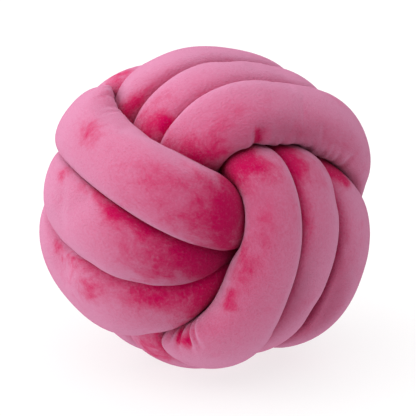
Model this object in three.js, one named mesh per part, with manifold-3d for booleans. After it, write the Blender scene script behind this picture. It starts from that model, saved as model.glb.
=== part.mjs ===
// A knotted ball cushion: one long stuffed plush tube, tied as a monkey's fist.
//
// The tube winds three turns about each of three crossed axes. Each bundle of three
// turns lies outermost on two opposite sides of the ball and dives under its neighbour
// at both ends: "left" under "right", "right" under "top", "top" under "left".
// The turns press against each other and against the stuffing in the middle, so the
// whole cushion is one filled body. It rests on a small flat spot.
// Millimetres and degrees, +Z up, origin at the middle of the bottom.

import * as THREE from "three";
import { mergeVertices } from "three/addons/utils/BufferGeometryUtils.js";
import Module from "manifold-3d";

const wasm = await Module();
wasm.setup();

// The tube's section is a soft-cornered oval, wide across the ball and shallow towards
// its middle. Under a crossing bundle it is squeezed to the second pair of sizes.
const HALF_WIDTH = 35;
const HALF_DEPTH = 23;
const SQUEEZED_HALF_WIDTH = 26;
const SQUEEZED_HALF_DEPTH = 19;
const SECTION_POWER = 2.3; // 2 is an ellipse, more is squarer
const SWELL_RATE = 2; // how soon the full section is back after a crossing

// Seen side-on, a turn is also a soft-cornered oval, round the middle of the ball.
const TURN_POWER = 3;
const TURN_BLEND = 0.7; // share of a half turn over which its reach becomes its neighbour's
const LEAST_REACH = 10;

// The side of the ball that each bundle covers, the way it runs there, and the way its
// turns are stacked, from the first turn to the third.
const X = new THREE.Vector3(1, 0, 0);
const Y = new THREE.Vector3(0, 1, 0);
const Z = new THREE.Vector3(0, 0, 1);
const BUNDLES = {
  left: { face: X, run: Y, stack: Z },
  right: { face: Y, run: Z, stack: X },
  top: { face: Z, run: X, stack: Y },
};

// The front half of each turn, one row for each.
//   mid: sideways angle where it crosses the middle of its face
//   bowAhead, bowBehind: how much that angle changes towards each end
//   ahead, behind: sideways place where it dives, at the end it runs to and the other one
//   reachAhead, reachBehind: how far from the middle of the ball it still is there
//   out: how far it is at the middle of its face
//   wideAhead, wideBehind: share of the full width towards each end
//   lean: how much it bulges towards the end it runs to
const FRONT_COLUMNS = [
  "mid", "bowAhead", "bowBehind", "ahead", "behind", "reachAhead", "reachBehind",
  "out", "wideAhead", "wideBehind", "lean",
];
const FRONT = {
  left: [
    [18.5, 3.5, 1, 30, 39, 93, 93, 116, 0.9, 0.96, 0.07],
    [-4, -2, 0, 1, 30, 77, 81, 115, 0.95, 1.08, 0.09],
    [-39, 3, 3, -5, -26, 82, 88, 112, 1.35, 0.8, 0],
  ],
  right: [
    [8.5, 5, -9, 39, 48, 82, 94, 114, 0.75, 0.92, 0.01],
    [-7.5, 0, 1, 18, 0, 81, 81, 112, 0.9, 0.9, 0.02],
    [-37, 2, -4, -17, -38, 79, 78, 117, 1, 1.04, -0.06],
  ],
  top: [
    [26.5, 1, -4, 35, 56, 80, 99, 116, 0.9, 0.9, 0],
    [7, -1, 0, 8, 15, 79, 82, 109, 0.93, 0.93, 0],
    [-14, 1, 2, -52, -26, 88, 66, 108, 0.92, 1, -0.05],
  ],
};

// The back half of each turn is plainer. It starts where the front half dived and ends
// where the next turn comes up.
const BACK_COLUMNS = ["mid", "reachStart", "reachEnd", "out"];
const BACK = {
  left: [
    [28, 66, 66, 112],
    [0, 66, 66, 112],
    [-28, 66, 66, 112],
  ],
  right: [
    [33, 88, 66, 106],
    [0, 66, 66, 112],
    [-28, 66, 66, 112],
  ],
  top: [
    [28, 66, 66, 109],
    [0, 66, 66, 107],
    [-28, 66, 66, 108],
  ],
};
const PLAIN = { bowAhead: 0, bowBehind: 0, wideAhead: 1, wideBehind: 1, lean: 0 };
const LAST_STEP_INWARDS = 30; // the third turn ends this far beside its own start

// How the knot lies: turned about its own top axis, then leaned to the right.
const KNOT_TURN = -146.5;
const KNOT_LEAN = 19;

const CORE_RADIUS = 108; // the crossings pressed together in the middle
const FLAT_SPOT_DEPTH = 6; // how far the lowest turn is flattened by the cushion's weight

const STEPS_ALONG = 24; // in a half turn
const STEPS_ROUND = 16;
const CORE_STEPS = 24;
const TRIM_BLOCK = 1000;

const smooth = (share) => THREE.MathUtils.smoothstep(share, 0, 1);
const blend = (from, to, share) => from + (to - from) * share;
const signedPower = (value, power) => Math.sign(value) * Math.abs(value) ** power;
const named = (columns, row) => Object.fromEntries(columns.map((name, at) => [name, row[at]]));

// The six half turns of a bundle in order. start and end each hold the sideways place of
// the dive, the half turn's own reach there, and the reach of the half turn beyond it.
function halfTurns(bundle) {
  const fronts = FRONT[bundle].map((row) => named(FRONT_COLUMNS, row));
  const backs = BACK[bundle].map((row) => ({ ...named(BACK_COLUMNS, row), ...PLAIN }));
  return fronts.flatMap((front, turn) => {
    const back = backs[turn];
    const before = backs[Math.max(turn - 1, 0)];
    const following = fronts[turn + 1] ?? {
      behind: front.behind - LAST_STEP_INWARDS,
      reachBehind: back.reachEnd,
    };
    return [
      {
        side: 1,
        row: front,
        start: { dive: front.behind, own: front.reachBehind, beyond: before.reachEnd },
        end: { dive: front.ahead, own: front.reachAhead, beyond: back.reachStart },
      },
      {
        side: -1,
        row: back,
        start: { dive: front.ahead, own: back.reachStart, beyond: front.reachAhead },
        end: { dive: following.behind, own: back.reachEnd, beyond: following.reachBehind },
      },
    ];
  });
}

// The tube's middle and section at one angle of a half turn, 0 at the middle of its face.
function ringAt(bundle, { side, row, start, end }, angle) {
  const { face, run, stack } = BUNDLES[bundle];
  const out = Math.cos(angle);
  const along = Math.sin(angle);
  const { dive, own, beyond } = along > 0 ? end : start;
  const reach = blend(beyond, own, smooth(0.5 + out / TURN_BLEND));
  const flatness = Math.abs(out / row.out) ** TURN_POWER;
  const steepness = Math.abs((along - row.lean * out) / reach) ** TURN_POWER;
  const radius = (flatness + steepness) ** (-1 / TURN_POWER);
  const bow = along > 0 ? row.bowAhead : row.bowBehind;
  const sideAngle = THREE.MathUtils.degToRad(row.mid + 2 * bow * along ** 2);
  const sideways = radius * out ** 2 * Math.sin(sideAngle) + dive * along ** 2;
  const far = Math.sqrt(Math.max(radius ** 2 - sideways ** 2, LEAST_REACH ** 2));
  const centre = new THREE.Vector3()
    .addScaledVector(face, far * out * side)
    .addScaledVector(run, far * along * side)
    .addScaledVector(stack, sideways);
  const wide = blend(row.wideBehind, row.wideAhead, (1 + along) / 2);
  const full = Math.min(SWELL_RATE * out ** 2, 1);
  return {
    centre,
    halfWidth: blend(SQUEEZED_HALF_WIDTH, HALF_WIDTH * wide, full),
    halfDepth: blend(SQUEEZED_HALF_DEPTH, HALF_DEPTH, full),
  };
}

// All rings of a bundle, each with its own directions across the tube and out of the ball.
function ringsOf(bundle) {
  const rings = halfTurns(bundle).flatMap((half, number) => {
    const steps = Array.from({ length: STEPS_ALONG + 1 }, (_, step) => step / STEPS_ALONG);
    const all = steps.map((share) => ringAt(bundle, half, Math.PI * (share - 0.5)));
    return number === 0 ? all : all.slice(1);
  });
  rings.forEach((ring, at) => {
    const before = rings[Math.max(at - 1, 0)].centre;
    const after = rings[Math.min(at + 1, rings.length - 1)].centre;
    const tangent = after.clone().sub(before).normalize();
    const { centre } = ring;
    ring.outward = centre.clone().addScaledVector(tangent, -centre.dot(tangent)).normalize();
    ring.across = new THREE.Vector3().crossVectors(tangent, ring.outward);
  });
  return rings;
}

// A closed cylinder, bent along a stretch of rings and given their sections.
function bentTube(rings) {
  const geometry = new THREE.CylinderGeometry(1, 1, 1, STEPS_ROUND, STEPS_ALONG);
  const place = geometry.attributes.position;
  const point = new THREE.Vector3();
  for (let at = 0; at < place.count; at += 1) {
    point.fromBufferAttribute(place, at);
    const ring = rings[Math.round((point.y + 0.5) * STEPS_ALONG)];
    const share = Math.hypot(point.x, point.z);
    const across = share * signedPower(point.x, 2 / SECTION_POWER);
    const outward = share * signedPower(point.z, 2 / SECTION_POWER);
    point
      .copy(ring.centre)
      .addScaledVector(ring.across, ring.halfWidth * across)
      .addScaledVector(ring.outward, ring.halfDepth * outward);
    place.setXYZ(at, point.x, point.y, point.z);
  }
  return geometry;
}

function solidOf(geometry) {
  geometry.deleteAttribute("normal");
  geometry.deleteAttribute("uv");
  const merged = mergeVertices(geometry, 1e-3);
  const mesh = new wasm.Mesh({
    numProp: 3,
    vertProperties: merged.attributes.position.array,
    triVerts: Uint32Array.from(merged.index.array),
  });
  return new wasm.Manifold(mesh);
}

function geometryOf(solid) {
  const mesh = solid.getMesh();
  const geometry = new THREE.BufferGeometry();
  geometry.setAttribute("position", new THREE.BufferAttribute(mesh.vertProperties, 3));
  geometry.setIndex(new THREE.BufferAttribute(mesh.triVerts, 1));
  geometry.computeVertexNormals();
  return geometry;
}

// All eighteen half turns and the pressed middle as one body, lying as it rests.
function knot() {
  let body = solidOf(new THREE.SphereGeometry(CORE_RADIUS, 2 * CORE_STEPS, CORE_STEPS));
  for (const bundle of Object.keys(BUNDLES)) {
    const rings = ringsOf(bundle);
    for (let first = 0; first + STEPS_ALONG < rings.length; first += STEPS_ALONG) {
      body = body.add(solidOf(bentTube(rings.slice(first, first + STEPS_ALONG + 1))));
    }
  }
  const geometry = geometryOf(body);
  geometry.rotateZ(THREE.MathUtils.degToRad(KNOT_TURN));
  geometry.rotateY(THREE.MathUtils.degToRad(KNOT_LEAN));
  return geometry;
}

function flatSpot(geometry) {
  geometry.computeBoundingBox();
  const floor = geometry.boundingBox.min.z + FLAT_SPOT_DEPTH;
  const block = new THREE.BoxGeometry(TRIM_BLOCK, TRIM_BLOCK, TRIM_BLOCK);
  block.translate(0, 0, floor + TRIM_BLOCK / 2);
  return geometryOf(solidOf(geometry).intersect(solidOf(block)));
}

const cushion = flatSpot(knot());
cushion.computeBoundingBox();
const { min, max } = cushion.boundingBox;
cushion.translate(-(min.x + max.x) / 2, -(min.y + max.y) / 2, -min.z);

const plush = new THREE.MeshStandardMaterial({ color: 0xc94a7c, roughness: 0.95, metalness: 0 });
const tube = new THREE.Mesh(cushion, plush);
tube.name = "knotted_tube";

const group = new THREE.Group();
group.add(tube);

export default group;
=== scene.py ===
# %% [markdown]
# # A knotted ball cushion
# The real cushion is one very long stuffed plush tube, tied as the old ball knot called a
# monkey's fist: three turns one way, three turns round those, and three turns through.
# A ball with a bumpy texture would never have the deep grooves and the turns that dive
# under one another. So this lesson follows the maker's own order: first the line of the
# tube, then its soft section, then the places where the turns press on each other, then
# the creases, and last the plush itself.

# %% The fixed frame
import math

import bpy
import numpy as np
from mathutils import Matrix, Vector


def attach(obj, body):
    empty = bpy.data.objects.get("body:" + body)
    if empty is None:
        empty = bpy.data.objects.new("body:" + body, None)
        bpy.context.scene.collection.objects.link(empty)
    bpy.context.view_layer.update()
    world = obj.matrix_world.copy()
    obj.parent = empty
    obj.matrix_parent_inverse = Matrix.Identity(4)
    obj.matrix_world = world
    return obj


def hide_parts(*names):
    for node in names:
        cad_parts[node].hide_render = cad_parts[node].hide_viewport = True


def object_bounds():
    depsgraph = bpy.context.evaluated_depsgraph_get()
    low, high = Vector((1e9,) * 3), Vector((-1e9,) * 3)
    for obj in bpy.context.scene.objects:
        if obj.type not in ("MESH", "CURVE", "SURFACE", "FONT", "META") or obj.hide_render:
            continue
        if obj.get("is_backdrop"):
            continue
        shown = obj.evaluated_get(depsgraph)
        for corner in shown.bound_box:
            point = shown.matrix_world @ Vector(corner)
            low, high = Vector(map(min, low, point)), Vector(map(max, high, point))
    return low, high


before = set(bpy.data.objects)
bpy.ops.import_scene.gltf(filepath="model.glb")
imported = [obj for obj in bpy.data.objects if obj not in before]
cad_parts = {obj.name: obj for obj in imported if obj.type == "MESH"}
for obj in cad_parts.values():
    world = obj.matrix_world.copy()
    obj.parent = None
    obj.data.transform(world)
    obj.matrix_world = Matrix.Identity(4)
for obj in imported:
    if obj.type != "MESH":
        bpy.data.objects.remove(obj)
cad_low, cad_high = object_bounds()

MM = 0.001
print("frame box in metres:", [round(value, 4) for value in (*cad_low, *cad_high)])

# %% [markdown]
# ## How the knot is laid out
# The turns come in three bundles, and each bundle covers two opposite sides of the ball.
# A bundle has a side that it faces, a way that it runs, and a way that its turns are
# stacked. Three crossed axes, used in three different orders, say all of this.

# %% Three bundles on three crossed axes
X, Y, Z = np.eye(3)
BUNDLES = {
    "left": {"face": X, "run": Y, "stack": Z},
    "right": {"face": Y, "run": Z, "stack": X},
    "top": {"face": Z, "run": X, "stack": Y},
}
TURNS = (1, 2, 3)
FRONT, BACK = 1, -1  # the two sides of the ball, as a sign along the bundle's face
print("bundles:", ", ".join(BUNDLES), "with", len(TURNS), "turns each")

# %% [markdown]
# ## The shape of every turn
# A hand-tied knot isn't even, so each turn has a row of its own. All sizes are in
# millimetres from the middle of the ball, and all angles are in degrees.
# - mid: sideways angle where the turn crosses the middle of its face
# - bow ahead, bow behind: how much that angle has changed halfway to each end
# - ahead, behind: sideways place where it dives, at the end it runs to and the other one
# - reach ahead, reach behind: how far from the middle it still is where it dives
# - out: how far it is at the middle of its face
# - wide ahead, wide behind: share of the full width towards each end
# - lean: how much it bulges towards the end it runs to
#
# The back of the ball is hidden most of the time, so its turns have a shorter row.

# %% The turns, row by row
FRONT_COLUMNS = ("mid", "bow_ahead", "bow_behind", "ahead", "behind", "reach_ahead",
                 "reach_behind", "out", "wide_ahead", "wide_behind", "lean")
FRONT_ROWS = {
    "left": (
        (18.5, 3.5, 1, 30, 39, 93, 93, 116, 0.9, 0.96, 0.07),
        (-4, -2, 0, 1, 30, 77, 81, 115, 0.95, 1.08, 0.09),
        (-39, 3, 3, -5, -26, 82, 88, 112, 1.35, 0.8, 0),
    ),
    "right": (
        (8.5, 5, -9, 39, 48, 82, 94, 114, 0.75, 0.92, 0.01),
        (-7.5, 0, 1, 18, 0, 81, 81, 112, 0.9, 0.9, 0.02),
        (-37, 2, -4, -17, -38, 79, 78, 117, 1, 1.04, -0.06),
    ),
    "top": (
        (26.5, 1, -4, 35, 56, 80, 99, 116, 0.9, 0.9, 0),
        (7, -1, 0, 8, 15, 79, 82, 109, 0.93, 0.93, 0),
        (-14, 1, 2, -52, -26, 88, 66, 108, 0.92, 1, -0.05),
    ),
}
BACK_COLUMNS = ("mid", "reach_start", "reach_end", "out")
BACK_ROWS = {
    "left": ((28, 66, 66, 112), (0, 66, 66, 112), (-28, 66, 66, 112)),
    "right": ((33, 88, 66, 106), (0, 66, 66, 112), (-28, 66, 66, 112)),
    "top": ((28, 66, 66, 109), (0, 66, 66, 107), (-28, 66, 66, 108)),
}
PLAIN_BACK = {"bow_ahead": 0, "bow_behind": 0, "wide_ahead": 1, "wide_behind": 1, "lean": 0}
LAST_STEP_INWARDS = 30  # the third turn ends this far beside its own start
print("rows of the front turns:", sum(len(rows) for rows in FRONT_ROWS.values()))

# %% [markdown]
# ## One half turn
# Seen from its side, a turn isn't a circle. It lies flat over its face and then dives
# steeply between its neighbours, so it is drawn as a soft-cornered oval. The section
# changes too: it is full over the face and squeezed narrow where it dives.

# %% A half turn: its middle line and its section
HALF_WIDTH = 35.0
HALF_DEPTH = 23.0
SQUEEZED_HALF_WIDTH = 26.0
SQUEEZED_HALF_DEPTH = 19.0
SWELL_RATE = 2.0  # how soon the full section is back after a dive
TURN_POWER = 3.0  # 2 is an ellipse, more is squarer
TURN_BLEND = 0.7  # share of a half turn over which its reach becomes its neighbour's
LEAST_REACH = 10.0  # the line never comes nearer the middle than this
STEPS_IN_HALF_TURN = 48
HALF_TURN_ANGLES = np.linspace(-math.pi / 2, math.pi / 2, STEPS_IN_HALF_TURN)


def eased(share):
    """0 up to 0, 1 from 1 on, and a soft step between."""
    share = np.clip(share, 0, 1)
    return share * share * (3 - 2 * share)


def half_turn(bundle, side, row, start, end):
    """start and end are (sideways place, own reach there, reach of the turn beyond)."""
    out, along = np.cos(HALF_TURN_ANGLES), np.sin(HALF_TURN_ANGLES)
    dive, own, beyond = (np.where(along > 0, b, a) for a, b in zip(start, end))
    reach = beyond + (own - beyond) * eased(0.5 + out / TURN_BLEND)
    flatness = np.abs(out / row["out"]) ** TURN_POWER
    steepness = np.abs((along - row["lean"] * out) / reach) ** TURN_POWER
    radius = (flatness + steepness) ** (-1 / TURN_POWER)
    bow = np.where(along > 0, row["bow_ahead"], row["bow_behind"])
    angle = np.radians(row["mid"] + 2 * bow * along ** 2)  # halfway, along ** 2 is a half
    sideways = radius * out ** 2 * np.sin(angle) + dive * along ** 2
    far = np.sqrt(np.maximum(radius ** 2 - sideways ** 2, LEAST_REACH ** 2))
    axes = BUNDLES[bundle]
    line = (np.outer(far * out * side, axes["face"])
            + np.outer(far * along * side, axes["run"])
            + np.outer(sideways, axes["stack"]))
    share = row["wide_behind"] + (row["wide_ahead"] - row["wide_behind"]) * (1 + along) / 2
    full = np.minimum(SWELL_RATE * out ** 2, 1)
    wide = SQUEEZED_HALF_WIDTH + (HALF_WIDTH * share - SQUEEZED_HALF_WIDTH) * full
    deep = SQUEEZED_HALF_DEPTH + (HALF_DEPTH - SQUEEZED_HALF_DEPTH) * full
    return line, wide, deep


print("points on a half turn:", STEPS_IN_HALF_TURN)

# %% [markdown]
# ## Eighteen half turns in a row
# Each turn is a front half and a back half. The back half starts where the front half
# dived, and ends where the next turn comes up. The third turn of a bundle leads inside
# the ball to the first turn of the next bundle, so the whole tube is one closed line,
# with its sewn ends hidden in the middle as on the real cushion.

# %% The list of half turns
def rows_of(bundle):
    fronts = [dict(zip(FRONT_COLUMNS, row)) for row in FRONT_ROWS[bundle]]
    backs = [dict(zip(BACK_COLUMNS, row)) | PLAIN_BACK for row in BACK_ROWS[bundle]]
    return fronts, backs


def half_turns_of(bundle):
    """(turn, side, line, wide, deep) for each half turn of a bundle, in order."""
    fronts, backs = rows_of(bundle)
    reach_before = backs[0]["reach_end"]
    for turn, front, back in zip(TURNS, fronts, backs):
        start = (front["behind"], front["reach_behind"], reach_before)
        end = (front["ahead"], front["reach_ahead"], back["reach_start"])
        yield turn, FRONT, *half_turn(bundle, FRONT, front, start, end)
        start = (front["ahead"], back["reach_start"], front["reach_ahead"])
        if turn < TURNS[-1]:
            following = fronts[turn]
            end = (following["behind"], back["reach_end"], following["reach_behind"])
        else:
            inwards = front["behind"] - LAST_STEP_INWARDS
            end = (inwards, back["reach_end"], back["reach_end"])
        yield turn, BACK, *half_turn(bundle, BACK, back, start, end)
        reach_before = back["reach_end"]


HALF_TURNS = [(bundle, *half) for bundle in BUNDLES for half in half_turns_of(bundle)]
print("half turns:", len(HALF_TURNS))

# %% [markdown]
# ## The hidden links
# Where one bundle is done, the maker leads the tube through the middle of the ball to the
# next. Nobody sees these links, and they could be left out, but then the tube would need
# caps on its cut ends. So each is a plain smooth curve that leaves one half turn and
# arrives at the next one in the right direction.

# %% A link between two bundles
LINK_PULL = 1.2  # how stiffly it leaves and arrives, as a share of the gap
STEPS_IN_LINK = 15


def unit(vectors):
    return vectors / np.linalg.norm(vectors, axis=-1, keepdims=True)


def link(before, after):
    """The middle line between the end of one half turn and the start of another."""
    leaving = unit(before[-1] - before[-2])
    arriving = unit(after[1] - after[0])
    pull = LINK_PULL * np.linalg.norm(after[0] - before[-1])
    t = np.linspace(0, 1, STEPS_IN_LINK, endpoint=False)[:, None]
    return ((2 * t**3 - 3 * t**2 + 1) * before[-1] + (t**3 - 2 * t**2 + t) * pull * leaving
            + (3 * t**2 - 2 * t**3) * after[0] + (t**3 - t**2) * pull * arriving)


print("points on a link:", STEPS_IN_LINK)

# %% [markdown]
# ## One closed line
# Now the half turns and the links are strung together. Each point keeps its width and
# depth, the number of its half turn and its angle on it, so that later steps can say
# "on the front of the first top turn" instead of counting points.

# %% Stringing the line together
LINK_HALF_WIDTH = 16.0
LINK_HALF_DEPTH = 15.0
SAME_PLACE = 1.0  # half turns whose ends are nearer than this need no link
HIDDEN = -1  # stands for the number of the half turn on a link

stretches = []
for number, (bundle, turn, side, line, wide, deep) in enumerate(HALF_TURNS):
    stretches.append((line[:-1], wide[:-1], deep[:-1], np.full(len(line) - 1, number),
                      HALF_TURN_ANGLES[:-1]))
    after = HALF_TURNS[(number + 1) % len(HALF_TURNS)][3]
    if np.linalg.norm(line[-1] - after[0]) > SAME_PLACE:
        inside = link(line, after)
        full = np.ones(len(inside))
        stretches.append((inside, LINK_HALF_WIDTH * full, LINK_HALF_DEPTH * full,
                          HIDDEN * full, np.zeros(len(inside))))
line, wide, deep, half_number, half_angle = (np.concatenate(part) for part in zip(*stretches))
print("points on the line:", len(line))

# %% [markdown]
# ## Rings along the tube
# A skin of even squares bends and shades best, so the line is cut again into even steps,
# with finer steps where the fabric is creased. Each creased stretch has a row: bundle,
# turn, side, and the angles along the turn where it begins and ends.

# %% Finer steps at the creases
FINER = 4.0  # how many times finer the steps are there
FINE_STRETCHES = (
    ("top", 1, FRONT, -50, 30),
    ("right", 1, FRONT, -60, -20),
    ("left", 1, FRONT, -45, 0),
)
FINENESS_PASSES = 4


def number_of(bundle, turn, side):
    """The place of a half turn in the list."""
    names = [half[:3] for half in HALF_TURNS]
    return names.index((bundle, turn, side))


def relaxed(values, passes, axis=0):
    """Values along a closed line, each evened out with its two neighbours."""
    for _ in range(passes):
        values = (np.roll(values, 1, axis) + 2 * values + np.roll(values, -1, axis)) / 4
    return values


fineness = np.ones(len(line))
for bundle, turn, side, first, last in FINE_STRETCHES:
    here = half_number == number_of(bundle, turn, side)
    here &= (half_angle > math.radians(first)) & (half_angle < math.radians(last))
    fineness[here] = FINER
fineness = relaxed(fineness, FINENESS_PASSES)
print("share of the line with finer steps:", round(float((fineness > 1).mean()), 2))

# %% [markdown]
# ## Even rings
# Each ring gets its place, its half width and half depth, the half turn it belongs to
# and its angle there, and three directions: along the tube, outward from the ball, and
# across.

# %% Even rings
RING_STEP = 8.0
LINE_PASSES = 3

gaps = np.linalg.norm(np.roll(line, -1, 0) - line, axis=1)
reached = np.r_[0, np.cumsum(gaps)]
counted = np.r_[0, np.cumsum(gaps * fineness)]
ring_count = int(round(counted[-1] / RING_STEP))
ring_at = np.arange(ring_count) * counted[-1] / ring_count
tube_length = reached[-1]


def at_rings(values):
    return np.interp(ring_at, counted, np.r_[values, values[:1]])


centres = relaxed(np.stack([at_rings(line[:, axis]) for axis in range(3)], 1), LINE_PASSES)
wide, deep = at_rings(wide), at_rings(deep)
ring_length = np.interp(ring_at, counted, reached)
point_before = np.searchsorted(counted, ring_at, side="right") - 1
ring_half = half_number[point_before].astype(int)
ring_angle = half_angle[point_before]
tangents = unit(np.roll(centres, -1, 0) - np.roll(centres, 1, 0))
outwards = unit(centres)
outwards = unit(outwards - (outwards * tangents).sum(1, keepdims=True) * tangents)
acrosses = np.cross(tangents, outwards)
print("tube:", round(tube_length * MM, 2), "m long,", ring_count, "rings")

# %% [markdown]
# ## The free section
# A stuffed tube that touches nothing has a soft oval section, a little squarer than an
# ellipse. Every ring starts with it. For each point only its direction from the middle
# of the tube is kept, and the distance is decided in the next step.

# %% Oval rings
POINTS_ROUND = 28
SECTION_POWER = 2.3  # 2 is an ellipse, more is squarer
round_angle = np.arange(POINTS_ROUND) * 2 * math.pi / POINTS_ROUND


def signed_power(values, power):
    return np.sign(values) * np.abs(values) ** power


oval_across = signed_power(np.cos(round_angle), 2 / SECTION_POWER)
oval_out = signed_power(np.sin(round_angle), 2 / SECTION_POWER)
spokes = (np.einsum("r,p,rx->rpx", wide, oval_across, acrosses)
          + np.einsum("r,p,rx->rpx", deep, oval_out, outwards))
free = np.linalg.norm(spokes, axis=2)
directions = spokes / free[:, :, None]
print("section points:", free.size)

# %% [markdown]
# ## Where the turns press on each other
# Two stuffed turns that touch share one flat wall, and the wall meets the free skin in
# a sharp, deep groove. It could be left to a physics run, but turns this tight tend to
# slip through each other there. Here each skin point moves out along its spoke, and
# stops where it is as deep in its own oval as it is in the nearest neighbour's. Halving
# the step eleven times finds that place to a tenth of a millimetre.

# %% The wall between neighbours
NEAR = 110.0  # rings further apart than this can't touch
OWN_STRETCH = 130.0  # rings closer than this along the tube belong to the same bend
REACH_ALONG = 20.0  # how far a neighbour's ring counts along its own tube
LEAST_SHARE = 0.2
MOST_SHARE = 2.0
HALVINGS = 11


def neighbours(ring):
    """Rings that are close by in space but far away along the tube."""
    apart = np.abs(ring_length - ring_length[ring])
    apart = np.minimum(apart, tube_length - apart)
    close = np.linalg.norm(centres - centres[ring], axis=1) < NEAR
    return np.nonzero(close & (apart > OWN_STRETCH))[0]


def wall(ring):
    """For each spoke of a ring, the share of its oval at which it meets a neighbour."""
    near = neighbours(ring)
    low, high = np.full(POINTS_ROUND, LEAST_SHARE), np.full(POINTS_ROUND, MOST_SHARE)
    if not len(near):
        return high
    scaled = np.stack([acrosses[near] / wide[near, None], outwards[near] / deep[near, None],
                       tangents[near] / REACH_ALONG])
    start = np.einsum("anx,nx->an", scaled, centres[ring] - centres[near])
    along_spoke = np.einsum("anx,px->apn", scaled, spokes[ring])
    for _ in range(HALVINGS):
        share = (low + high) / 2
        place = start[:, None] + share[None, :, None] * along_spoke
        depth = (np.abs(place) ** SECTION_POWER).sum(0).min(1) ** (1 / SECTION_POWER)
        outside = depth > share
        low, high = np.where(outside, share, low), np.where(outside, high, share)
    return low


walls = np.array([wall(ring) for ring in range(ring_count)])
print("share of the skin that is pressed:", round(float((walls < 1).mean()), 2))

# %% [markdown]
# ## Soft places
# Fuller stuffing, shaded hollows and rubbed pile all sit in soft-edged places on the
# tube. Each place is a row: bundle, turn, side, the angle along the turn, the angle
# round the tube, its length and breadth in millimetres, and its strength. Round the tube,
# 90 faces out of the ball, 180 is the edge on the first turn's side, and 0 is the edge on
# the third turn's side.

# %% A soft place on the tube
SPOT_COLUMNS = ("bundle", "turn", "side", "along", "round_at", "length", "breadth", "strength")
STRAIGHT_RADIUS = 30.0  # of the tube when it is untied


def length_at(bundle, turn, side, along):
    """Distance along the tube at an angle of one half turn."""
    here = ring_half == number_of(bundle, turn, side)
    return np.interp(math.radians(along), ring_angle[here], ring_length[here])


def soft_spot(bundle, turn, side, along, round_at, length, breadth):
    """1 in the middle of a place on the tube, easing to 0 around it."""
    beside = (ring_length[:, None] - length_at(bundle, turn, side, along)) / length
    turned = np.abs(round_angle - math.radians(round_at))[None]
    across = np.minimum(turned, 2 * math.pi - turned) * STRAIGHT_RADIUS / breadth
    return np.exp(-(beside ** 2 + across ** 2))


def strong_spots(rows):
    """Each row's soft place, times its strength."""
    for row in rows:
        place = dict(zip(SPOT_COLUMNS, row))
        strength = place.pop("strength")
        yield strength * soft_spot(**place)


print("a place is given by:", ", ".join(SPOT_COLUMNS))

# %% [markdown]
# ## From wall to free skin
# Plush over stuffing never turns a hard corner, so the free skin and the wall are joined
# with a rounded shoulder. A bevel on the finished mesh could do this too, but here it
# costs one line and can't tear the skin. A hair's gap is left between the two skins.
# A hand-stuffed tube is also fuller in some places than in others. The strength of a
# fuller place is how far it stands out, in millimetres.

# %% The rounded shoulder
GAP = 0.3
SHOULDER = 6.0
LEAST_RADIUS = 4.0
CLOTH_ALLOWANCE = 0.6  # the skin starts this much too small, because the cloth swells
SKIN_PASSES = 1
FULLER = (
    ("left", 1, FRONT, -28, 170, 14, 14, 10.0),
    ("left", 2, FRONT, -15, 158, 40, 12, 3.0),
    ("left", 3, FRONT, 56, 30, 16, 18, 8.0),
    ("right", 1, FRONT, -33, 175, 18, 16, 6.0),
    ("right", 1, FRONT, 5, 166, 60, 12, 3.0),
    ("right", 1, FRONT, 42, 160, 16, 14, 5.0),
)


def soft_least(a, b, width):
    """The lesser of two values, rounded where they are within a width of each other."""
    overlap = np.maximum(width - np.abs(a - b), 0) / width
    return np.minimum(a, b) - overlap ** 2 * width / 4


walls = (walls + relaxed(walls, 1, axis=1)) / 2
closeness = (MOST_SHARE - np.maximum(walls, 1)) / (MOST_SHARE - 1)  # 1 where it is pressed
room = free + sum(strong_spots(FULLER)) - CLOTH_ALLOWANCE
radius = np.maximum(soft_least(room, walls * free - GAP, SHOULDER), LEAST_RADIUS)
skin = relaxed(centres[:, None] + radius[:, :, None] * directions, SKIN_PASSES)
print("deepest pinch:", round(float((free - radius).max()), 1), "mm")

# %% [markdown]
# ## A short cloth run
# So far the shape is too even for sewn plush. The skin is now handed to the cloth solver
# as fabric cut a little too large, with air pressed into it and no gravity. Where two
# turns touch, the skin is held. Elsewhere it swells and settles into faint dents and
# puckers of its own. The shape started slightly too small to leave room for this, and
# no point may move far.

# %% The squares of the skin
def squares():
    """The four corners of every square, as numbers of skin points."""
    ring = np.arange(ring_count)[:, None]
    point = np.arange(POINTS_ROUND)[None]
    next_ring, next_point = (ring + 1) % ring_count, (point + 1) % POINTS_ROUND
    corners = [(ring, point), (next_ring, point), (next_ring, next_point), (ring, next_point)]
    return np.stack([a * POINTS_ROUND + b for a, b in corners], -1).reshape(-1, 4)


print("squares:", len(squares()))

# %% Settling the skin
PRESSURE = 4.0
EXTRA_CLOTH = 0.012  # how much too large the fabric is cut, as a share
SETTLING_FRAMES = 20
MOST_MOVEMENT = 2.5
HELD_FROM, HELD_TO = 0.7, 0.8  # closeness at which a neighbour starts to hold the skin


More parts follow.
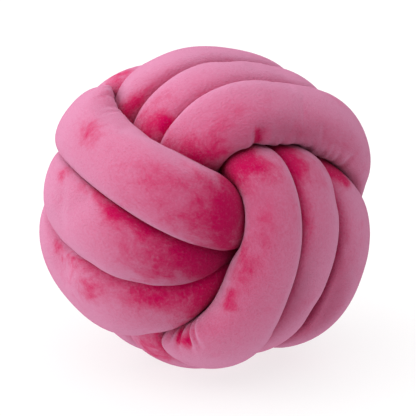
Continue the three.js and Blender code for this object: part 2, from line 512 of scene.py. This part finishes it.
def settled(points, held):
    """The points after a short cloth run, in which the held ones stay where they are."""
    shape = bpy.data.meshes.new("cloth_trial")
    shape.from_pydata((points * MM).reshape(-1, 3).tolist(), [], squares().tolist())
    trial = bpy.data.objects.new("cloth_trial", shape)
    bpy.context.scene.collection.objects.link(trial)
    pins = trial.vertex_groups.new(name="held")
    for index in np.nonzero(held.ravel() > 0)[0].tolist():
        pins.add([index], float(held.ravel()[index]), "REPLACE")
    cloth = trial.modifiers.new("cloth", "CLOTH")
    cloth.settings.use_pressure = True
    cloth.settings.uniform_pressure_force = PRESSURE
    cloth.settings.effector_weights.gravity = 0
    cloth.settings.vertex_group_mass = pins.name
    cloth.settings.shrink_min = -EXTRA_CLOTH
    cloth.point_cache.frame_end = SETTLING_FRAMES
    for moment in range(1, SETTLING_FRAMES + 1):
        bpy.context.scene.frame_set(moment)
    result = trial.evaluated_get(bpy.context.evaluated_depsgraph_get()).to_mesh()
    moved = np.empty(points.size, dtype=np.float32)
    result.vertices.foreach_get("co", moved)
    bpy.data.objects.remove(trial)
    bpy.data.meshes.remove(shape)
    bpy.context.scene.frame_set(1)
    return moved.reshape(points.shape) / MM


held = eased((closeness - HELD_FROM) / (HELD_TO - HELD_FROM))
held[ring_half == HIDDEN] = 1
movement = settled(skin, held) - skin
distance = np.linalg.norm(movement, axis=2, keepdims=True)
skin += movement * np.minimum(1, MOST_MOVEMENT / np.maximum(distance, MOST_MOVEMENT))
print("the free skin settled by", round(float(distance[held < 1].mean()), 2), "mm")

# %% [markdown]
# ## Creases
# Where the tube bends tightly its inner side is too long, so the plush gathers there in
# short creases that run round the tube. Each one is a soft trough with a low ridge on
# both sides. They could be a bump in the material, but then the edge of the turn would
# stay smooth, and the cloth run makes only faint ones. So the skin itself is moved, at
# places listed for the front turns. The columns are: bundle, turn, angle along the
# turn, the angles round the tube where it begins and ends, how far it drifts along the
# tube from its middle to its end, its half width and its depth, in millimetres.

# %% Gathers at the tight bends
CREASE_COLUMNS = ("bundle", "turn", "along", "first", "last", "drift", "breadth", "depth")
CREASES = (
    ("top", 1, 18, 122, 200, 4, 4.0, 3.6),
    ("top", 1, 6, 145, 205, -3, 2.6, 1.6),
    ("top", 1, 1, 140, 205, -4, 2.4, 1.3),
    ("top", 1, -5, 150, 210, -5, 2.6, 1.5),
    ("top", 1, -10, 150, 220, -6, 2.4, 1.9),
    ("top", 1, -14, 152, 215, -6, 2.2, 1.5),
    ("top", 1, -18, 148, 222, -7, 2.6, 2.1),
    ("top", 1, -23, 155, 215, -7, 2.2, 1.6),
    ("top", 1, -28, 150, 215, -8, 2.4, 1.7),
    ("top", 1, -36, 150, 210, -8, 2.6, 1.5),
    ("right", 1, -35, 130, 205, 6, 2.2, 3.0),
    ("right", 1, -40, 132, 205, 7, 2.6, 4.5),
    ("right", 1, -45, 132, 205, 8, 2.6, 4.0),
    ("right", 1, -50, 136, 205, 8, 2.6, 3.0),
    ("left", 1, -13, 138, 198, -5, 2.0, 1.5),
    ("left", 1, -17, 146, 202, -6, 1.9, 2.2),
    ("left", 1, -22, 138, 204, -6, 2.0, 2.0),
    ("left", 1, -27, 146, 206, -7, 1.9, 2.4),
    ("left", 1, -33, 140, 206, -6, 2.2, 2.0),
)
RIDGE_AT, RIDGE_WIDTH = 1.9, 0.8  # beside the trough, both as a share of its half width
RIDGE_SHARE = 0.45  # the ridge's height, as a share of the trough's depth


def crease_height(bundle, turn, along, first, last, drift, breadth, depth):
    """How far one crease lifts each point of the skin."""
    middle, half = (first + last) / 2, (last - first) / 2
    round_share = np.clip((np.degrees(round_angle) - middle) / half, -1, 1)
    beside = ring_length[:, None] - length_at(bundle, turn, FRONT, along)
    beside = np.abs(beside - drift * round_share) / breadth
    ridge = RIDGE_SHARE * np.exp(-((beside - RIDGE_AT) / RIDGE_WIDTH) ** 2)
    return depth * (1 - round_share ** 2) ** 2 * (ridge - np.exp(-beside ** 2))


gathers = sum(crease_height(**dict(zip(CREASE_COLUMNS, row))) for row in CREASES)
skin += gathers[:, :, None] * directions
print("creases:", len(CREASES), "deepest", round(float(-gathers.min()), 1), "mm")

# %% [markdown]
# ## How it lies
# The knot is turned the way it was put down, and its lowest turn is flattened a little
# by the cushion's weight. A firm cushion this light gets only a small flat spot, so no
# physics run is needed: every point below the floor is eased up to it. The middle of the
# base is the origin.

# %% Laid on the floor
KNOT_TURN = -146.5
KNOT_LEAN = 19.0
FLAT_SPOT_DEPTH = 6.0
FLAT_EDGE = 3.0  # half the height over which the flat spot rounds into the side


def turning(turn, lean):
    a, b = math.radians(turn), math.radians(lean)
    about_z = np.array([[math.cos(a), -math.sin(a), 0], [math.sin(a), math.cos(a), 0], [0, 0, 1]])
    about_y = np.array([[math.cos(b), 0, math.sin(b)], [0, 1, 0], [-math.sin(b), 0, math.cos(b)]])
    return about_y @ about_z


TURNING = turning(KNOT_TURN, KNOT_LEAN)
lying = skin @ TURNING.T
low, high = lying.min((0, 1)), lying.max((0, 1))
base = np.array([(low[0] + high[0]) / 2, (low[1] + high[1]) / 2, low[2] + FLAT_SPOT_DEPTH])


def laid_down(points):
    """Points of the knot, turned, rested on the floor and in metres."""
    points = points @ TURNING.T - base
    height = points[..., 2]
    eased_height = (height + FLAT_EDGE) ** 2 / (4 * FLAT_EDGE)
    points[..., 2] = np.where(height < -FLAT_EDGE, 0,
                              np.where(height > FLAT_EDGE, height, eased_height))
    return points * MM


knot_centre = Vector(-base * MM)
print("middle of the knot:", [round(value, 4) for value in knot_centre])

# %% [markdown]
# ## The skin as a mesh
# The real cover is one long sewn tube, so the rings are joined into one closed skin of
# squares. More rings could make it rounder, but one level of subdivision does that too,
# and keeps the piece light enough to use.

# %% Building the skin
mesh = bpy.data.meshes.new("plush_tube")
mesh.from_pydata(laid_down(skin).reshape(-1, 3).tolist(), [], squares().tolist())
mesh.polygons.foreach_set("use_smooth", np.ones(len(mesh.polygons), dtype=bool))
mesh.update()
tube = bpy.data.objects.new("plush_tube", mesh)
bpy.context.scene.collection.objects.link(tube)
rounder = tube.modifiers.new("rounder", "SUBSURF")
rounder.levels = rounder.render_levels = 1
print("squares in the skin:", len(mesh.polygons))

# %% [markdown]
# ## Places on the untied tube
# Plush is made flat and sewn into a straight tube, so its pile follows the tube through
# every turn. Each point remembers where it would be if the tube was untied and laid
# straight. Patterns that read this place bend with the knot and show no seam.

# %% Remembering the straight tube
def keep(name, kind, values):
    """Stores one value or place for each skin point, for the material to read."""
    layer = mesh.attributes.new(name, kind, "POINT")
    field = "vector" if kind == "FLOAT_VECTOR" else "value"
    layer.data.foreach_set(field, np.asarray(values, dtype=np.float32).ravel())


straight = np.stack(np.broadcast_arrays(
    ring_length[:, None],
    STRAIGHT_RADIUS * np.cos(round_angle)[None],
    STRAIGHT_RADIUS * np.sin(round_angle)[None],
), -1)
keep("straight_place", "FLOAT_VECTOR", straight * MM)
print("the untied tube is", round(float(straight[:, 0, 0].max() * MM), 2), "m long")

# %% [markdown]
# ## Which way the pile leans
# The pile of plush leans along the tube. Where a turn dives ahead the pile leans away,
# and the colour is a deep crimson; where it comes up again it is a pale rose. Beside a
# groove the pile is pushed down and is crimson too, but only on the edge that faces the
# first turn. Dives and grooves are hollows, so their crimson is partly the pile and partly
# painted shade. Deeper in a dive or a groove the colour is mixed towards a dark wine,
# which is painted shade. Each front turn has a row, and all back turns share one:
# - begins, full: the angles along it where the crimson of the dive begins and is full
# - groove: how strong the crimson is beside the groove
# - dive shade, groove shade: how strong the painted shade is in the dive and in the groove
# - shade from: the angle along it where the groove's painted shade begins

# %% The leaning pile, turn by turn
PILE_COLUMNS = ("begins", "full", "groove", "dive_shade", "groove_shade", "shade_from")
PILE_ROWS = {
    "left": (
        (38, 60, 0.1, 0.5, 0.5, 0),
        (22, 64, 1.2, 0.75, 0.85, 5),
        (26, 60, 0.7, 0.35, 0.45, 5),
    ),
    "right": (
        (20, 60, 0.2, 0.2, 0.2, 0),
        (18, 54, 0.6, 0.4, 0.85, -70),
        (20, 54, 0.5, 0.4, 0.85, -70),
    ),
    "top": (
        (8, 70, 0.1, 0.0, 0.35, -90),
        (26, 80, 0.1, 0.0, 0.0, 0),
        (28, 80, 0.1, 0.0, 0.0, 0),
    ),
}
BACK_PILE = (20, 66, 0.6, 0.4, 0.4, -20)
print("rows of leaning pile:", sum(len(rows) for rows in PILE_ROWS.values()) + 1)

# %% Crimson and painted shade at the dives and beside the grooves
FULL_LEAN = 1.35  # in the middle of a dive
FAR_EDGE = 0.6  # how strong the dive's crimson is on the edge that faces the third turn
GROOVE_REACHES = 0.35  # the closeness of a neighbour at which its groove begins to show
GROOVE_FROM, GROOVE_TO = -25, 35  # the angles along a turn between which it gets strong
SHADE_RAMP = 40  # the angle over which the groove's wine gets strong

to_first_turn = -np.cos(round_angle)[None]
lean = np.zeros((ring_count, POINTS_ROUND))
shade = np.zeros_like(lean)
for number, (bundle, turn, side, *_) in enumerate(HALF_TURNS):
    row = PILE_ROWS[bundle][turn - 1] if side == FRONT else BACK_PILE
    pile = dict(zip(PILE_COLUMNS, row))
    here = ring_half == number
    angle = np.degrees(ring_angle[here])[:, None]
    diving = eased((angle - pile["begins"]) / (pile["full"] - pile["begins"]))
    to_edge = 1 - (1 - FAR_EDGE) * (1 - to_first_turn) / 2
    beside = eased((closeness[here] - GROOVE_REACHES) / (1 - GROOVE_REACHES))
    beside = beside * np.sqrt(np.maximum(to_first_turn, 0))
    groove = pile["groove"] * eased((angle - GROOVE_FROM) / (GROOVE_TO - GROOVE_FROM))
    # crimson at the dive and beside the groove: leaning pile, and partly painted shade
    lean[here] = np.maximum(FULL_LEAN * diving * to_edge, groove * beside)
    # wine deep in the dive and beside the groove: painted shade
    ramp = eased((angle - pile["shade_from"]) / SHADE_RAMP)
    shade[here] = np.maximum(pile["dive_shade"] * diving,
                             pile["groove_shade"] * beside ** 2 * ramp)
print("skin that is mostly crimson:", round(float((lean > 0.5).mean()), 2))

# %% [markdown]
# ## Shaded hollows
# A few more places lie so deep between two turns that they get the painted shade too.
# A rule for these would need more words than the places themselves, so they are
# rows of soft places, as above.

# %% Placing the shaded hollows
PILE_PASSES = 3
SHADED = (
    ("left", 3, FRONT, 54, 40, 10, 8, 0.9),
    ("right", 2, FRONT, -8, 122, 36, 18, 0.65),
    ("right", 3, FRONT, -14, 142, 36, 15, 0.4),
    ("top", 1, FRONT, 4, 148, 52, 14, 0.35),
)
# painted shade: the wine colour in these deep places
for spot in strong_spots(SHADED):
    shade = np.maximum(shade, spot)
keep("shade", "FLOAT", relaxed(shade, PILE_PASSES))
print("shaded hollows:", len(SHADED))

# %% [markdown]
# ## Rubbed patches
# A hand that strokes plush leaves the pile leaning another way, and the patch looks
# deeper or paler. Each is a soft place, as above. A positive strength lays the pile down,
# so the patch is crimson. A negative one brushes it up, so the patch is paler. Some rows
# stand for light and shade instead: two crimson rows in the creases of the first right
# turn and a short crimson streak on the first top turn are painted shade, and the paler
# rows beside the grooves of the second and third top turns are painted light.

# %% Placing the rubbed patches
RUBBED_PILE_AND_PAINTED_LIGHT = (
    ("left", 1, FRONT, -5, 106, 13, 10, 0.75),
    ("left", 1, FRONT, 34, 98, 32, 26, 0.48),
    ("left", 1, FRONT, 54, 92, 8, 24, 0.35),
    ("left", 2, FRONT, -8, 121, 6, 6, 0.9),
    ("left", 2, FRONT, 20, 126, 12, 9, 0.5),
    ("left", 2, FRONT, 27, 104, 20, 12, 0.4),
    ("left", 2, FRONT, 42, 100, 16, 12, 0.45),
    ("left", 2, FRONT, 53, 95, 12, 20, 0.5),
    ("left", 3, FRONT, -15, 149, 10, 6, 0.6),
    ("left", 3, FRONT, -4, 130, 12, 8, 0.4),
    ("left", 3, FRONT, 4, 150, 24, 9, 0.4),
    ("left", 3, FRONT, 12, 100, 26, 16, 0.3),
    ("left", 3, FRONT, 21, 108, 10, 10, 0.85),
    ("left", 3, FRONT, 38, 92, 18, 9, 0.5),
    ("left", 3, FRONT, 52, 80, 14, 18, 0.4),
    # painted shade: the next two rows are crimson in the creases of this turn
    ("right", 1, FRONT, -46, 158, 5, 10, 0.8),
    ("right", 1, FRONT, -41, 158, 5, 10, 0.8),
    ("right", 1, FRONT, -16, 147, 5, 8, 0.8),
    ("right", 1, FRONT, -9, 160, 3, 4, 0.8),
    ("right", 1, FRONT, 3, 157, 28, 12, 0.8),
    ("right", 1, FRONT, 16, 120, 26, 14, 0.3),
    ("right", 1, FRONT, 36, 100, 12, 14, 0.5),
    ("right", 1, FRONT, 40, 165, 18, 10, 0.7),
    ("right", 1, FRONT, 42, 72, 10, 14, -0.6),
    ("right", 1, FRONT, 44, 128, 14, 16, 0.8),
    ("right", 2, FRONT, 26, 125, 20, 8, 0.3),
    ("right", 2, FRONT, 41, 112, 14, 14, 0.8),
    ("right", 2, FRONT, 44, 62, 12, 18, -0.8),
    ("right", 3, FRONT, 34, 86, 8, 8, 0.9),
    ("right", 3, FRONT, 38, 100, 12, 14, 0.6),
    # painted shade: a short crimson streak in a small dent
    ("top", 1, FRONT, 20, 145, 2.5, 9, 0.8),
    ("top", 1, FRONT, 26, 97, 10, 10, 0.15),
    ("top", 1, FRONT, 34, 70, 22, 12, -0.5),
    ("top", 1, FRONT, 38, 125, 8, 10, 0.35),
    ("top", 1, FRONT, 42, 108, 14, 20, 0.3),
    # painted light: this edge is made paler beside its groove
    ("top", 2, FRONT, 22, 142, 34, 12, -0.9),
    ("top", 2, FRONT, 38, 86, 14, 10, 0.3),
    ("top", 2, FRONT, 43, 120, 5, 10, 1.5),
    ("top", 2, FRONT, 50, 112, 12, 20, 0.5),
    # painted light: this edge is made paler beside its groove
    ("top", 3, FRONT, 10, 132, 34, 14, -1.0),
    ("top", 3, FRONT, 36, 150, 14, 9, 0.4),
    ("top", 3, FRONT, 47, 140, 14, 16, 0.6),
    ("left", 1, BACK, 5, 80, 12, 10, 0.7),
    ("left", 2, BACK, 28, 110, 26, 14, 0.5),
    ("left", 3, BACK, -12, 75, 9, 8, 0.8),
    ("right", 1, BACK, -45, 118, 30, 26, 0.7),
    ("right", 2, BACK, 10, 100, 24, 12, 0.5),
    ("right", 3, BACK, -18, 115, 8, 12, 0.7),
    ("top", 1, BACK, -28, 80, 30, 30, 0.7),
    ("top", 1, BACK, 24, 100, 14, 9, 0.6),
    ("top", 2, BACK, 0, 70, 20, 12, 0.5),
    ("top", 3, BACK, 32, 120, 10, 10, 0.7),
)
# Crease troughs turn crimson: gathered pile, and painted shade in the troughs.
CREASE_PILE_AND_SHADE = 0.25  # for each millimetre of a crease's depth

lean = relaxed(lean, PILE_PASSES) + sum(strong_spots(RUBBED_PILE_AND_PAINTED_LIGHT))
lean += CREASE_PILE_AND_SHADE * np.maximum(-gathers, 0)
keep("lean", "FLOAT", lean)
print("rubbed patches:", len(RUBBED_PILE_AND_PAINTED_LIGHT))

# %% [markdown]
# ## Small tools for nodes
# A material is a tree of nodes. Each could be made and joined line by line, but that hides
# the idea behind it. These helpers add one node each and hand back its result, so that
# the material reads like a recipe.

# %% Helpers that add nodes
def set_or_link(tree, socket, value):
    """Puts a plain value on a socket, or joins another node's result to it."""
    if isinstance(value, (tuple, int, float)):
        socket.default_value = value
    else:
        tree.links.new(value, socket)


def maths(tree, operation, *values, clamp=False):
    node = tree.nodes.new("ShaderNodeMath")
    node.operation = operation
    node.use_clamp = clamp
    for socket, value in zip(node.inputs, values):
        set_or_link(tree, socket, value)
    return node.outputs[0]


def between(tree, value, low, high):
    """0 below low, 1 above high, and a smooth step between."""
    node = tree.nodes.new("ShaderNodeMapRange")
    node.interpolation_type = "SMOOTHSTEP"
    set_or_link(tree, node.inputs["Value"], value)
    set_or_link(tree, node.inputs["From Min"], low)
    set_or_link(tree, node.inputs["From Max"], high)
    return node.outputs["Result"]


def noise(tree, **settings):
    """Settings are the names of the node's sockets and their values."""
    node = tree.nodes.new("ShaderNodeTexNoise")
    for name, value in settings.items():
        set_or_link(tree, node.inputs[name], value)
    return node.outputs["Fac"]


print("node helpers: maths, between, noise")

# %% [markdown]
# ## Nap, as a node group
# Pile never leans quite evenly. Soft clouds a centimetre or two across show where it
# leans away, and a fine grain of a millimetre or two shows single tufts. Both come from
# noise read on the straight tube, so they bend with every turn. A group keeps this as one
# tool with named knobs: it takes the place, the lean and the two sizes, and gives back
# how deep one looks into the pile, the grain, and the height of the tufts.

# %% The knobs of the nap
NAP_KNOBS = (
    ("Place", "NodeSocketVector"),
    ("Lean", "NodeSocketFloat"),
    ("Cloud Scale", "NodeSocketFloat"),
    ("Grain Scale", "NodeSocketFloat"),
)
NAP_RESULTS = ("Deep", "Grain", "Height")
nap = bpy.data.node_groups.new("plush_nap", "ShaderNodeTree")
for name, kind in NAP_KNOBS:
    nap.interface.new_socket(name, in_out="INPUT", socket_type=kind)
for name in NAP_RESULTS:
    nap.interface.new_socket(name, in_out="OUTPUT", socket_type="NodeSocketFloat")
nap_in = nap.nodes.new("NodeGroupInput").outputs
nap_out = nap.nodes.new("NodeGroupOutput").inputs
print("nap knobs:", [item.name for item in nap.interface.items_tree])

# %% [markdown]
# ## Inside the nap
# The clouds sway the lean, so the edge of every crimson patch frays the way stroked plush
# does. Where nothing leans they still leave a light mottle. Single tufts that stand up
# show as pale specks in the crimson.

# %% Clouds, mottle and specks
CLOUD_SWING = 2.1  # how much the clouds sway the lean
LEAN_SHOWS_AT, LEAN_FULL_AT = 0.08, 1.1  # the lean at which crimson shows and is full
MOTTLE_FROM, MOTTLE_TO, MOTTLE = 0.5, 0.75, 0.3  # cloud values, and how deep the mottle is
SPECKS_FROM, SPECKS_TO, SPECKS = 0.5, 0.8, 0.2  # grain values, and how pale the tufts are

clouds = noise(nap, Vector=nap_in["Place"], Scale=nap_in["Cloud Scale"],
               Detail=6.0, Roughness=0.67, Distortion=0.3)
grain = noise(nap, Vector=nap_in["Place"], Scale=nap_in["Grain Scale"],
              Detail=2.0, Roughness=0.6)
wander = maths(nap, "SUBTRACT", clouds, 0.5)
swayed = maths(nap, "MULTIPLY_ADD", wander, CLOUD_SWING, nap_in["Lean"])
leaning = between(nap, swayed, LEAN_SHOWS_AT, LEAN_FULL_AT)
mottle = maths(nap, "MULTIPLY", between(nap, clouds, MOTTLE_FROM, MOTTLE_TO), MOTTLE)
tufts = between(nap, grain, SPECKS_FROM, SPECKS_TO)
specks = maths(nap, "MULTIPLY_ADD", tufts, -SPECKS, 1.0)
deep_pile = maths(nap, "MULTIPLY", maths(nap, "MAXIMUM", leaning, mottle), specks)
nap.links.new(deep_pile, nap_out["Deep"])
nap.links.new(grain, nap_out["Grain"])
nap.links.new(maths(nap, "ADD", grain, clouds), nap_out["Height"])
print("nap nodes:", len(nap.nodes))

# %% [markdown]
# ## The plush
# Real hairs would be far too heavy for one cushion, so the pile is told by its colour and
# its sheen, part of which is painted into the colour. One material covers the whole skin
# and reads the marks kept on it: the straight place, the lean, which is partly painted
# shade, and the shade, which is painted shade.

# %% A bare material and its marks
plush = bpy.data.materials.new("pink_plush")
plush.use_nodes = True
tree = plush.node_tree
skin_shader = tree.nodes["Principled BSDF"]


def attribute(name, output):
    """Reads a mark that was kept on the skin."""
    node = tree.nodes.new("ShaderNodeAttribute")
    node.attribute_name = name
    return node.outputs[output]


def mixed(first, second, share):
    """One colour, turning to a second one as the share goes from 0 to 1."""
    node = tree.nodes.new("ShaderNodeMix")
    node.data_type = "RGBA"
    for name, value in (("A", first), ("B", second), ("Factor", share)):
        set_or_link(tree, node.inputs[name], value)
    return node.outputs["Result"]


print("material:", plush.name)

# %% [markdown]
# ## Pale along the pile
# Velvet plush is dark where one looks into the pile and pale where one looks along it.
# Layer Weight tells how much the skin turns away, which is what a velvet sheen needs. The
# base colour is mixed towards lilac by it, so this lilac is a painted sheen. The grain
# roughens that change. Pile that is brushed up is paler still, and crimson pile stays
# crimson.

# %% How pale the pile looks
CLOUD_SCALE = 55.0
GRAIN_SCALE = 650.0
GRAIN_SHOWS = 0.55  # how much the grain roughens the change from rose to lilac
# paler patches are brushed-up pile, and two beside the top grooves are painted light
PALER_PATCHES_SHOW = 0.3  # how much a brushed-up patch adds to it
ALL_PALE_AT = 0.62  # the facing at which the pile is fully lilac
PALE_POWER = 0.85  # less than 1 brings the lilac in sooner
CRIMSON_KEEPS = 0.9  # how much of the lilac the crimson keeps away

plush_nap = tree.nodes.new("ShaderNodeGroup")
plush_nap.node_tree = nap
tree.links.new(attribute("straight_place", "Vector"), plush_nap.inputs["Place"])
tree.links.new(attribute("lean", "Fac"), plush_nap.inputs["Lean"])
plush_nap.inputs["Cloud Scale"].default_value = CLOUD_SCALE
plush_nap.inputs["Grain Scale"].default_value = GRAIN_SCALE
deep_nap, grain_nap = plush_nap.outputs["Deep"], plush_nap.outputs["Grain"]
facing = tree.nodes.new("ShaderNodeLayerWeight")
facing.inputs["Blend"].default_value = 0.5
# negative lean makes the skin paler: brushed-up pile, and in two places painted light
against = maths(tree, "MULTIPLY", attribute("lean", "Fac"), -PALER_PATCHES_SHOW)
brushed_up_and_painted_light = maths(tree, "MAXIMUM", against, 0.0)
grainy = maths(tree, "MULTIPLY_ADD", maths(tree, "SUBTRACT", grain_nap, 0.5), GRAIN_SHOWS,
               facing.outputs["Facing"])
grainy = maths(tree, "ADD", grainy, brushed_up_and_painted_light)
# painted sheen: how much the colour turns lilac as the skin turns away
pale = maths(tree, "POWER", maths(tree, "DIVIDE", grainy, ALL_PALE_AT, clamp=True), PALE_POWER)
paler = maths(tree, "MULTIPLY", pale, maths(tree, "MULTIPLY_ADD", deep_nap, -CRIMSON_KEEPS, 1.0))
print("nodes so far:", len(tree.nodes))

# %% [markdown]
# ## The colours of the plush
# Crimson deep in the pile and rose on top are the dye's own colours. The lilac pink along
# the pile is painted sheen, which brushed-up pile shares, and the wine where the turns hide
# the skin is painted shade. Mixing four fixed colours by the masks is easier to tune than
# bending one colour with curves.

# %% Mixing the colours
CRIMSON = (0.57, 0.001, 0.085, 1)
PAINTED_SHADE_WINE = (0.20, 0.004, 0.04, 1)
ROSE = (0.60, 0.115, 0.235, 1)
SHEEN_AND_NAP_LILAC = (0.62, 0.24, 0.385, 1)
# crimson where the pile leans away; in the dives, grooves and creases it is partly painted shade
into_pile = mixed(ROSE, CRIMSON, deep_nap)
# painted sheen: lilac where the skin turns away
sheened_pile = mixed(into_pile, SHEEN_AND_NAP_LILAC, paler)
# painted shade: wine in the deep dives, grooves and hollows
shaded_pile = mixed(sheened_pile, PAINTED_SHADE_WINE, attribute("shade", "Fac"))
tree.links.new(shaded_pile, skin_shader.inputs["Base Color"])
print("colours: crimson, wine, rose, lilac")

# %% [markdown]
# ## The finish of the plush
# Plush has no gloss, so its specular is off and its roughness is high. The shader's own
# sheen gives a soft light round every edge, and a fine bump lifts the tufts.

# %% Sheen and bump
skin_shader.inputs["Roughness"].default_value = 0.95
skin_shader.inputs["Specular IOR Level"].default_value = 0.0
skin_shader.inputs["Sheen Weight"].default_value = 0.03
skin_shader.inputs["Sheen Roughness"].default_value = 0.35
skin_shader.inputs["Sheen Tint"].default_value = (1.0, 0.7, 0.88, 1)
bump = tree.nodes.new("ShaderNodeBump")
bump.inputs["Strength"].default_value = 0.9
bump.inputs["Distance"].default_value = MM
tree.links.new(plush_nap.outputs["Height"], bump.inputs["Height"])
tree.links.new(bump.outputs["Normal"], skin_shader.inputs["Normal"])
mesh.materials.append(plush)
print("plush nodes:", len(tree.nodes))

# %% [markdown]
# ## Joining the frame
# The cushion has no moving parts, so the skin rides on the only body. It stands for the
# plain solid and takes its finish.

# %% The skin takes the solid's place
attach(tube, "root")
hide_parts("knotted_tube")
print("the piece:", tube.name)

# %% [markdown]
# ## Floor and light
# A plain white floor that glows a little and a dim, even sky keep the colours true and
# the shadow faint.

# %% The floor
FLOOR_SIZE = 8.0
bpy.ops.mesh.primitive_plane_add(size=FLOOR_SIZE)
floor = bpy.context.object
floor.name = "floor"
paper = bpy.data.materials.new("white_paper")
paper.use_nodes = True
paper_shader = paper.node_tree.nodes["Principled BSDF"]
paper_shader.inputs["Base Color"].default_value = (0.25, 0.25, 0.25, 1)
paper_shader.inputs["Roughness"].default_value = 1.0
paper_shader.inputs["Emission Color"].default_value = (1, 1, 1, 1)
paper_shader.inputs["Emission Strength"].default_value = 0.75
floor.data.materials.append(paper)
floor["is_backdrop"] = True
print("floor:", FLOOR_SIZE, "m wide")

# %% [markdown]
# ## The lamps
# Two very broad lamps, one from the left and one from straight above, give the turns
# their round shading. A small lamp would draw hard edges in the grooves, and a bright sky
# alone would leave the turns flat.

# %% Sky and lamps
world = bpy.data.worlds.new("studio")
world.use_nodes = True
sky = world.node_tree.nodes["Background"]
sky.inputs["Color"].default_value = (1, 1, 1, 1)
sky.inputs["Strength"].default_value = 0.18
bpy.context.scene.world = world

LAMPS = (  # name, the way it comes from, and its energy
    ("left_lamp", (-1.0, 0.0, 0.1), 3.1),
    ("top_lamp", (0.0, 0.0, 1.0), 2.6),
)
SOFTNESS = math.radians(100)
for name, source, energy in LAMPS:
    lamp = bpy.data.lights.new(name, "SUN")
    lamp.energy = energy
    lamp.angle = SOFTNESS
    holder = bpy.data.objects.new(name, lamp)
    holder.rotation_euler = (-Vector(source)).to_track_quat("-Z", "Y").to_euler()
    bpy.context.scene.collection.objects.link(holder)
print("lamps:", ", ".join(name for name, *_ in LAMPS))

# %% [markdown]
# ## The camera
# A long lens from a little above, as for a shop picture. The view is 34 cm wide where the
# knot is, and is moved a touch to the right and down, as shares of its width.

# %% The camera
CAMERA_RISE = math.radians(20)
CAMERA_DISTANCE = 1.6
VIEW_WIDTH = 0.340364
VIEW_RIGHT, VIEW_UP = 0.008413, -0.002404
SENSOR = 36.0

lens = bpy.data.cameras.new("camera")
camera = bpy.data.objects.new("camera", lens)
bpy.context.scene.collection.objects.link(camera)
away = Vector((0, -math.cos(CAMERA_RISE), math.sin(CAMERA_RISE)))
camera.location = knot_centre + away * CAMERA_DISTANCE
camera.rotation_euler = (math.pi / 2 - CAMERA_RISE, 0, 0)
lens.sensor_width = SENSOR
lens.lens = SENSOR * CAMERA_DISTANCE / VIEW_WIDTH
lens.shift_x, lens.shift_y = VIEW_RIGHT, VIEW_UP
bpy.context.scene.camera = camera
bpy.context.scene.view_settings.view_transform = "Standard"
print("lens:", round(lens.lens), "mm")

# %% [markdown]
# ## Last measure
# The skin's box is measured and kept beside the frame's, because the two have to stay together.

# %% Sizes and the end
low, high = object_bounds()
sizes = {"cad": [list(cad_low), list(cad_high)], "visual": [list(low), list(high)]}
print("skin box in metres:", [round(value, 4) for value in (*low, *high)])
